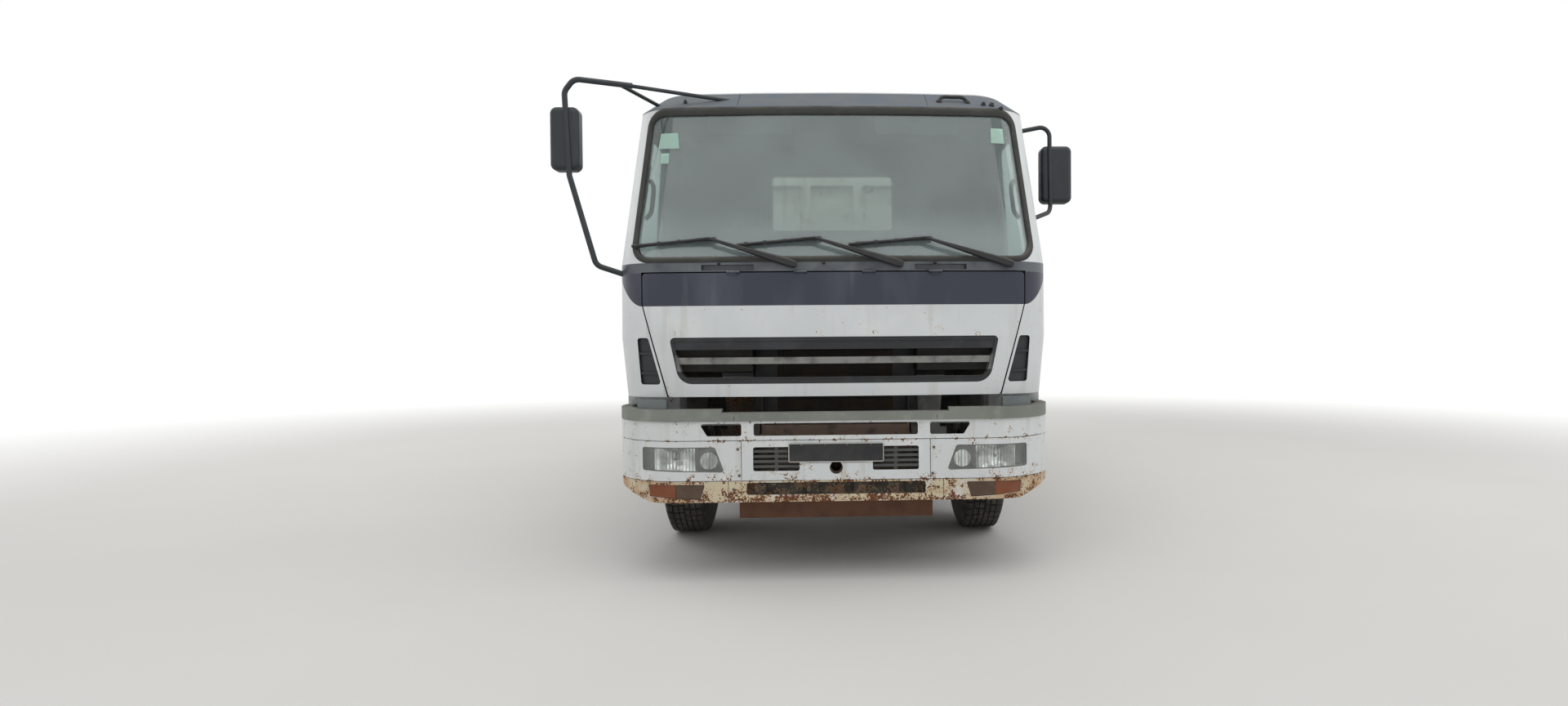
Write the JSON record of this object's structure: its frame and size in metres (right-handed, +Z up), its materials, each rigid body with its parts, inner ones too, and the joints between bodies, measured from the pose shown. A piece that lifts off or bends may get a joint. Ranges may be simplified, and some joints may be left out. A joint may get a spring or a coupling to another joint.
{
  "type": "dump truck",
  "caption": "Cab-over tipper truck: ladder frame, tilting cab with doors and lifting front lid, steered front axle, tandem on twin tyres, hinged dump bed with top-hung tailgate and hoist.",
  "frame": {"origin": "on the ground under the middle of the truck's bounding box", "axes": "+Z up, the truck faces -Y, its left side is +X"},
  "size_m": [3.159, 7.662, 2.855],
  "materials": {
    "cab_paint": "faded satin",
    "floor_paint": "faded satin",
    "door_paint": "faded satin",
    "lid_paint": "faded satin",
    "glass": "dusty",
    "wiper_black": "worn",
    "mirror_black": "dusty",
    "dash_plastic": "matte",
    "wheel_plastic": "worn",
    "seat_cloth": "worn",
    "vent_black": "matte",
    "grille_plastic": "dusty",
    "frame_steel": "dull red-brown",
    "bumper_paint": "faded, peeling below",
    "trim_plastic": "weathered",
    "lamp_glass": "clear",
    "corner_lens": "clear",
    "radiator_alloy": "dusty",
    "engine_iron": "oily",
    "axle_iron": "rough",
    "spring_steel": "scaled",
    "tank_steel": "satin black",
    "box_steel": "satin black",
    "air_tank_steel": "satin black",
    "guard_plastic": "dusty",
    "step_plastic": "dusty",
    "shaft_steel": "dull",
    "rear_guard_plastic": "dusty",
    "exhaust_steel": "rusty",
    "intake_plastic": "dusty",
    "bar_steel": "satin black",
    "tail_lens": "red",
    "bed_paint": "scraped",
    "gate_paint": "scraped",
    "sill_steel": "dull",
    "hoist_paint": "oily",
    "rod_chrome": "polished",
    "knuckle_iron": "rough",
    "tie_rod_steel": "dull",
    "rim_paint": "dusty",
    "tyre_rubber": "dusty"
  },
  "bodies": {
    "chassis": {"chassis_frame": "frame_steel", "hoist_subframe": "frame_steel", "front_bumper": "bumper_paint", "bumper_trim": "trim_plastic", "headlamps": "lamp_glass", "corner_lamps": "corner_lens", "radiator": "radiator_alloy", "engine": "engine_iron", "front_axle": "axle_iron", "leaf_springs": "spring_steel", "fuel_tank": "tank_steel", "battery_box": "box_steel", "air_tanks": "air_tank_steel", "front_guards": "guard_plastic", "cab_steps": "step_plastic", "rear_axles": "axle_iron", "prop_shafts": "shaft_steel", "rear_guards": "rear_guard_plastic", "exhaust": "exhaust_steel", "air_intake": "intake_plastic", "rear_bar": "bar_steel", "tail_lamps": "tail_lens"},
    "cab": {"cab_shell": "cab_paint", "cab_floor": "floor_paint", "cab_glass": "glass", "wipers": "wiper_black", "mirror_right": "mirror_black", "dashboard": "dash_plastic", "steering_wheel": "wheel_plastic", "seats": "seat_cloth", "corner_vents": "vent_black"},
    "lid": {"front_lid": "lid_paint", "grille": "grille_plastic"},
    "left_door": {"door_left": "door_paint", "door_glass_left": "glass", "mirror_left": "mirror_black"},
    "right_door": {"door_right": "door_paint", "door_glass_right": "glass"},
    "bed": {"dump_bed": "bed_paint", "bed_sills": "sill_steel"},
    "gate": {"tailgate": "gate_paint"},
    "barrel": {"hoist_barrel": "hoist_paint"},
    "rod": {"hoist_rod": "rod_chrome"},
    "left_knuckle": {"knuckle_left": "knuckle_iron"},
    "right_knuckle": {"knuckle_right": "knuckle_iron"},
    "track_rod": {"tie_rod": "tie_rod_steel"},
    "front_left_wheel": {"wheel_front_left": "rim_paint", "tyre_front_left": "tyre_rubber"},
    "front_right_wheel": {"wheel_front_right": "rim_paint", "tyre_front_right": "tyre_rubber"},
    "rear_a_left_wheels": {"wheel_rear_a_left": "rim_paint", "tyres_rear_a_left": "tyre_rubber"},
    "rear_a_right_wheels": {"wheel_rear_a_right": "rim_paint", "tyres_rear_a_right": "tyre_rubber"},
    "rear_b_left_wheels": {"wheel_rear_b_left": "rim_paint", "tyres_rear_b_left": "tyre_rubber"},
    "rear_b_right_wheels": {"wheel_rear_b_right": "rim_paint", "tyres_rear_b_right": "tyre_rubber"}
  },
  "joints": [
    {"name": "cab_tilt", "type": "hinge", "parent": "chassis", "child": "cab", "pos_m": [0, -3.719, 0.7], "axis": [1, 0, 0], "range_deg": [0, 45]},
    {"name": "lid_lift", "type": "hinge", "parent": "cab", "child": "lid", "pos_m": [0, -3.764, 1.704], "axis": [-1, 0, 0], "range_deg": [0, 70]},
    {"name": "left_door_hinge", "type": "hinge", "parent": "cab", "child": "left_door", "pos_m": [1.235, -3.379, 1.8], "axis": [0, 0, -1], "range_deg": [0, 70]},
    {"name": "right_door_hinge", "type": "hinge", "parent": "cab", "child": "right_door", "pos_m": [-1.235, -3.379, 1.8], "axis": [0, 0, 1], "range_deg": [0, 70]},
    {"name": "bed_lift", "type": "hinge", "parent": "chassis", "child": "bed", "pos_m": [0, 3.531, 1.1], "axis": [-1, 0, 0], "range_deg": [0, 50]},
    {"name": "gate_swing", "type": "hinge", "parent": "bed", "child": "gate", "pos_m": [0, 3.771, 2.44], "axis": [1, 0, 0], "range_deg": [0, 60]},
    {"name": "hoist_tilt", "type": "hinge", "parent": "chassis", "child": "barrel", "pos_m": [0, 2.116, 0.88], "axis": [-1, 0, 0], "range_deg": [0, 69.29]},
    {"name": "hoist_stroke", "type": "slide", "parent": "barrel", "child": "rod", "axis": [0, -0.9661, 0.2581], "range_m": [0, 1.0445]},
    {"name": "left_steer", "type": "hinge", "parent": "chassis", "child": "left_knuckle", "pos_m": [0.89, -2.439, 0.53], "axis": [0, 0, 1], "range_deg": [-38, 38]},
    {"name": "right_steer", "type": "hinge", "parent": "chassis", "child": "right_knuckle", "pos_m": [-0.89, -2.439, 0.53], "axis": [0, 0, 1], "range_deg": [-38, 38]},
    {"name": "track_rod_pivot", "type": "hinge", "parent": "right_knuckle", "child": "track_rod", "pos_m": [-0.83, -2.249, 0.43], "axis": [0, 0, 1], "range_deg": [-41, 41]},
    {"name": "front_left_spin", "type": "hinge", "parent": "left_knuckle", "child": "front_left_wheel", "pos_m": [0.99, -2.439, 0.53], "axis": [1, 0, 0], "continuous": true},
    {"name": "front_right_spin", "type": "hinge", "parent": "right_knuckle", "child": "front_right_wheel", "pos_m": [-0.99, -2.439, 0.53], "axis": [1, 0, 0], "continuous": true},
    {"name": "rear_a_left_spin", "type": "hinge", "parent": "chassis", "child": "rear_a_left_wheels", "pos_m": [0.925, 1.461, 0.53], "axis": [1, 0, 0], "continuous": true},
    {"name": "rear_a_right_spin", "type": "hinge", "parent": "chassis", "child": "rear_a_right_wheels", "pos_m": [-0.925, 1.461, 0.53], "axis": [1, 0, 0], "continuous": true},
    {"name": "rear_b_left_spin", "type": "hinge", "parent": "chassis", "child": "rear_b_left_wheels", "pos_m": [0.925, 2.771, 0.53], "axis": [1, 0, 0], "continuous": true},
    {"name": "rear_b_right_spin", "type": "hinge", "parent": "chassis", "child": "rear_b_right_wheels", "pos_m": [-0.925, 2.771, 0.53], "axis": [1, 0, 0], "continuous": true}
  ],
  "couplings": [
    {"joint": "hoist_tilt", "follows": "bed_lift", "ratio": 1.3757},
    {"joint": "hoist_stroke", "follows": "bed_lift", "m_per_rad": 1.1946},
    {"joint": "right_steer", "follows": "left_steer", "ratio": 1},
    {"joint": "track_rod_pivot", "follows": "left_steer", "ratio": -1.066}
  ]
}
